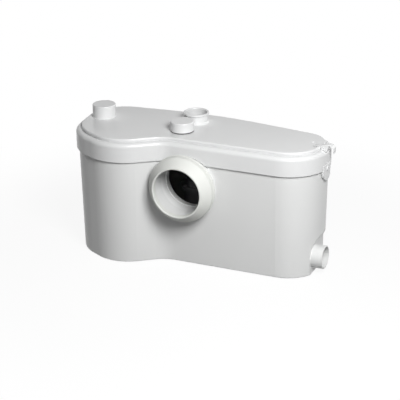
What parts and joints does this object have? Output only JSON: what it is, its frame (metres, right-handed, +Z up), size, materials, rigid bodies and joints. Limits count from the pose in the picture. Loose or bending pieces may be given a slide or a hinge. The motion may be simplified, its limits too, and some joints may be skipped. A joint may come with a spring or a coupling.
{
  "type": "macerator toilet pump",
  "caption": "White floor-standing macerator pump tank with a rear toilet inlet sleeve, side inlet, lift-off lid, vent cap, access plug and a top discharge collar.",
  "frame": {"origin": "on the floor, under the middle of the overall box", "axes": "+Z up, +X towards the side inlet, -Y towards the toilet"},
  "size_m": [0.5095, 0.2138, 0.2718],
  "materials": {
    "white_shell": "satin",
    "white_button": "satin",
    "cream_rubber": "matt",
    "black_rubber": "matt",
    "grey_plastic": "matt",
    "black_plastic": "matt",
    "motor_paint": "satin",
    "steel": "brushed",
    "laminations": "matt",
    "windings": "varnished wire",
    "seal_face": "ground",
    "capacitor_can": "drawn",
    "carbon": "felt"
  },
  "bodies": {
    "tank_body": {"tank": "white_shell", "rubber_feet": "black_rubber", "inlet_sleeve": "cream_rubber", "side_valve_seat": "grey_plastic", "side_flap_pin": "steel", "cable_gland": "black_plastic", "gland_nut": "black_plastic", "pump_volute": "grey_plastic", "volute_cover": "grey_plastic", "cutting_ring": "steel", "pump_screws": "steel", "motor_base": "motor_paint", "base_screws": "steel", "motor_housing": "motor_paint", "motor_screws": "steel", "motor_gland": "black_rubber", "stator_core": "laminations", "stator_windings": "windings", "bearing_outer_rings": "steel", "shaft_seal_seat": "seal_face", "discharge_bend": "grey_plastic", "hose_clips": "steel", "valve_body": "grey_plastic", "valve_pin": "steel", "valve_top": "grey_plastic", "valve_screws": "steel", "riser_pipe": "grey_plastic", "pressure_bell": "grey_plastic", "diaphragm": "black_rubber", "bell_screws": "steel", "control_box": "black_plastic", "control_cover": "black_plastic", "control_screws": "steel", "capacitor": "capacitor_can", "terminal_block": "black_plastic", "switch_bracket": "steel", "microswitch": "black_plastic"},
    "lid_body": {"lid": "white_shell", "lid_gasket": "black_rubber", "lid_studs": "white_button", "cable_hook": "steel", "discharge_seal": "black_rubber", "vent_filter": "carbon"},
    "vent_cap_body": {"vent_cap": "white_shell"},
    "access_plug_body": {"access_plug": "white_shell", "access_plug_ring": "black_rubber"},
    "rotor_body": {"rotor_core": "laminations", "motor_shaft": "steel", "bearing_inner_rings": "steel", "impeller": "grey_plastic", "cutter_blades": "steel", "cutter_nut": "steel", "shaft_seal_ring": "black_rubber"},
    "valve_flap_body": {"valve_flap": "black_rubber"},
    "side_flap_body": {"side_flap": "black_rubber"},
    "plunger_body": {"plunger": "black_plastic"},
    "switch_lever_body": {"switch_lever": "steel"},
    "switch_button_body": {"switch_button": "black_plastic"}
  },
  "joints": [
    {"name": "lid_lift", "type": "slide", "parent": "tank_body", "child": "lid_body", "axis": [0, 0, 1], "range_m": [0, 0.09]},
    {"name": "vent_cap_lift", "type": "slide", "parent": "lid_body", "child": "vent_cap_body", "axis": [0, 0, 1], "range_m": [0, 0.03]},
    {"name": "access_plug_lift", "type": "slide", "parent": "lid_body", "child": "access_plug_body", "axis": [0, 0, 1], "range_m": [0, 0.03]},
    {"name": "rotor_spin", "type": "hinge", "parent": "tank_body", "child": "rotor_body", "pos_m": [-0.15765, -0.00351, 0], "axis": [0, 0, 1], "continuous": true},
    {"name": "valve_flap_swing", "type": "hinge", "parent": "tank_body", "child": "valve_flap_body", "pos_m": [-0.03682, 0.06649, 0.0906], "axis": [-1, 0, 0], "range_deg": [0, 50]},
    {"name": "side_flap_swing", "type": "hinge", "parent": "tank_body", "child": "side_flap_body", "pos_m": [0.20756, 0.00249, 0.0592], "axis": [0, 1, 0], "range_deg": [0, 60]},
    {"name": "plunger_rise", "type": "slide", "parent": "tank_body", "child": "plunger_body", "axis": [0, 0, 1], "range_m": [0, 0.0012], "stiffness_N_per_m": 150, "deforming": ["diaphragm"]},
    {"name": "switch_lever_tilt", "type": "hinge", "parent": "tank_body", "child": "switch_lever_body", "pos_m": [0.11938, 0.01249, 0.1519], "axis": [0, -1, 0], "range_deg": [0, 5.4]},
    {"name": "switch_button_press", "type": "slide", "parent": "tank_body", "child": "switch_button_body", "axis": [0, 0, 1], "range_m": [0, 0.00092]}
  ],
  "couplings": [
    {"joint": "switch_lever_tilt", "follows": "plunger_rise", "rad_per_m": 76.923},
    {"joint": "switch_button_press", "follows": "plunger_rise", "ratio": 0.75}
  ]
}
